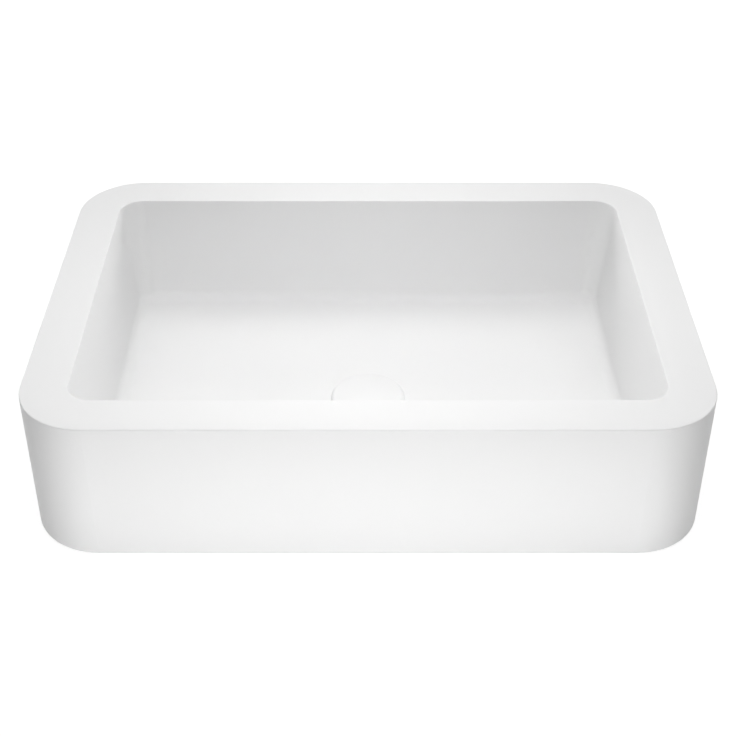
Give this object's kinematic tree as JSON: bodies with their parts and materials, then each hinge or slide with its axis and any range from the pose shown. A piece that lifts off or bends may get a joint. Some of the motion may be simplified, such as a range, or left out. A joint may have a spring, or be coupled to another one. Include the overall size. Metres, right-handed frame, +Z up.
{
  "type": "countertop basin",
  "caption": "Rectangular white cast-stone vessel basin with a wide flat rim, leaning well walls, a dished floor and a push-to-open drain under a domed stone cap.",
  "frame": {"origin": "centre of the basin's footprint, on the countertop", "axes": "+X to the basin's right, +Y to its back, +Z up out of the countertop"},
  "size_m": [0.58, 0.416, 0.1975],
  "materials": {
    "cast_stone": "matte",
    "cast_stone_cap": "matte",
    "chrome": "polished",
    "brass": "satin",
    "rubber": "matte",
    "nylon": "satin",
    "spring_steel": "satin"
  },
  "bodies": {
    "basin": {"basin_body": "cast_stone", "click_housing": "chrome", "stem_wiper": "rubber", "index_sleeve": "nylon", "return_spring": "spring_steel", "bottom_plug": "brass", "drain_body": "chrome", "flange_gasket": "rubber", "counter_gasket": "rubber", "slip_washer": "nylon", "lock_nut": "brass"},
    "popup": {"drain_cap": "cast_stone_cap", "cap_insert": "brass", "cap_seal": "rubber", "height_lock_nut": "brass", "plunger": "brass"},
    "rotor": {"index_rotor": "nylon"}
  },
  "joints": [
    {"name": "popup_slide", "type": "slide", "parent": "basin", "child": "popup", "axis": [0, 0, 1], "range_m": [0, 0.009], "deforming": ["return_spring"]},
    {"name": "rotor_index", "type": "hinge", "parent": "popup", "child": "rotor", "pos_m": [0, -0.008, -0.0135], "axis": [0, 0, 1], "range_deg": [0, 45]}
  ],
  "couplings": [
    {"joint": "rotor_index", "follows": "popup_slide", "rad_per_m": 87.26}
  ]
}
